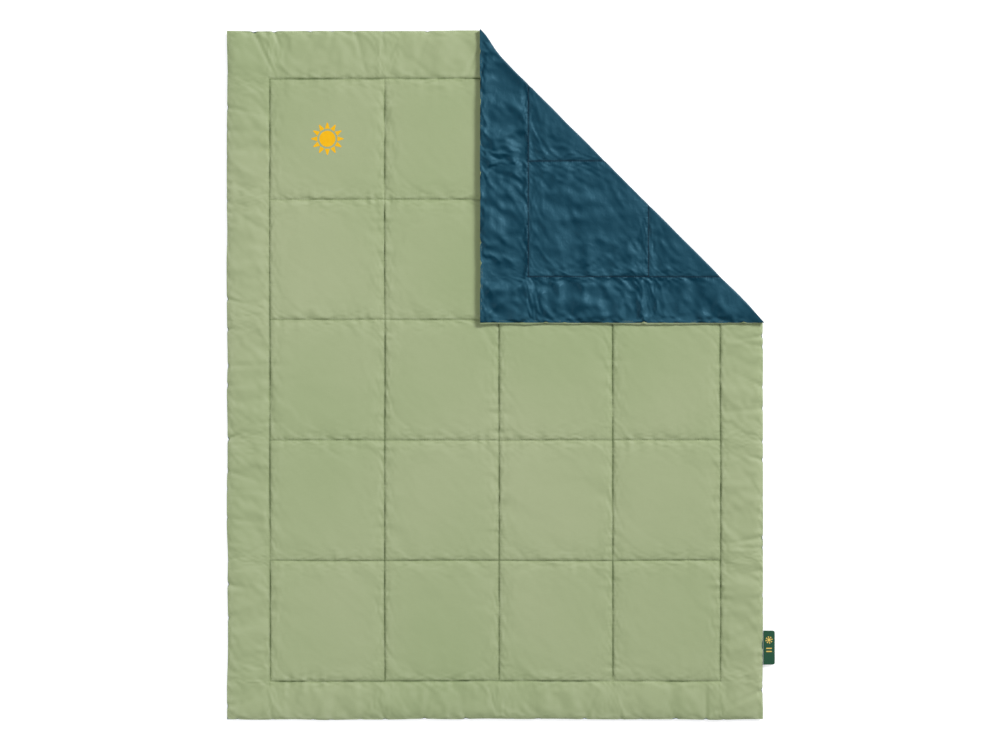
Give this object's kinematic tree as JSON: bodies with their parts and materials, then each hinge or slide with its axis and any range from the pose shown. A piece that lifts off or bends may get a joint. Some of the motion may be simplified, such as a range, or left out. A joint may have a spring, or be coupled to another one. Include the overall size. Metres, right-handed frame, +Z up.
{
  "type": "camp blanket",
  "caption": "Rectangular quilted camp blanket with a plain border round a field of stitched boxes, two-sided, lying flat with one head corner turned over; side label.",
  "frame": {"origin": "middle of the base of the whole part, label included, on the ground that the blanket lies on", "axes": "+X across the blanket to its right, towards the label; +Y along its length towards the head; +Z up, out of the sage-green front"},
  "size_m": [1.431, 1.8, 0.0326],
  "materials": {
    "front_cloth": "matt plain-woven polyester, sage green, faint even weave",
    "back_cloth": "calendered plain-woven polyester, navy blue, soft sheen",
    "batting_fleece": "white bonded polyester fleece",
    "front_thread": "twisted polyester sewing thread, olive green",
    "back_thread": "twisted polyester sewing thread, dark navy",
    "seam_thread": "twisted polyester sewing thread, grey green",
    "label_ribbon": "damask-woven ribbon, dark green with a plain yellow motif",
    "sun_print": "matt heat-transfer print, warm yellow"
  },
  "bodies": {
    "main": {"back_column_stitch_1_main": "back_thread", "back_column_stitch_2_main": "back_thread", "back_column_stitch_3_main": "back_thread", "back_frame_stitch_main_left": "back_thread", "back_frame_stitch_main_right": "back_thread", "back_row_stitch_1_main": "back_thread", "back_row_stitch_2_main": "back_thread", "back_row_stitch_3_main": "back_thread", "back_row_stitch_4_main": "back_thread", "back_shell_main": "back_cloth", "batting_main": "batting_fleece", "edge_seam_main_left": "seam_thread", "edge_seam_main_right": "seam_thread", "front_column_stitch_1_main": "front_thread", "front_column_stitch_2_main": "front_thread", "front_column_stitch_3_main": "front_thread", "front_frame_stitch_main_left": "front_thread", "front_frame_stitch_main_right": "front_thread", "front_row_stitch_1_main": "front_thread", "front_row_stitch_2_main": "front_thread", "front_row_stitch_3_main": "front_thread", "front_row_stitch_4_main": "front_thread", "front_shell_main": "front_cloth", "sun_print": "sun_print"},
    "corner": {"back_column_stitch_3_corner": "back_thread", "back_frame_stitch_corner": "back_thread", "back_row_stitch_1_corner": "back_thread", "back_shell_corner": "back_cloth", "batting_corner": "batting_fleece", "edge_seam_corner": "seam_thread", "front_column_stitch_3_corner": "front_thread", "front_frame_stitch_corner": "front_thread", "front_row_stitch_1_corner": "front_thread", "front_shell_corner": "front_cloth"},
    "foot": {"back_column_stitch_1_foot": "back_thread", "back_column_stitch_2_foot": "back_thread", "back_column_stitch_3_foot": "back_thread", "back_frame_stitch_foot": "back_thread", "back_shell_foot": "back_cloth", "batting_foot": "batting_fleece", "edge_seam_foot": "seam_thread", "front_column_stitch_1_foot": "front_thread", "front_column_stitch_2_foot": "front_thread", "front_column_stitch_3_foot": "front_thread", "front_frame_stitch_foot": "front_thread", "front_shell_foot": "front_cloth", "label_tail": "label_ribbon"},
    "label": {"label_loop": "label_ribbon"}
  },
  "joints": [
    {"name": "corner_fold", "type": "hinge", "parent": "main", "child": "corner", "pos_m": [0.3035, 0.519, 0.0163], "axis": [-0.7071, 0.7071, 0], "range_deg": [0, 179.9]},
    {"name": "foot_fold", "type": "hinge", "parent": "main", "child": "foot", "pos_m": [-0.0155, -0.4882, 0.0163], "axis": [-1, 0, 0], "range_deg": [0, 179.9]},
    {"name": "label_flex", "type": "hinge", "parent": "foot", "child": "label", "pos_m": [0.686, -0.7125, 0.006], "axis": [0, -1, 0], "range_deg": [-8, 90], "stiffness_Nm_per_rad": 0.01}
  ]
}
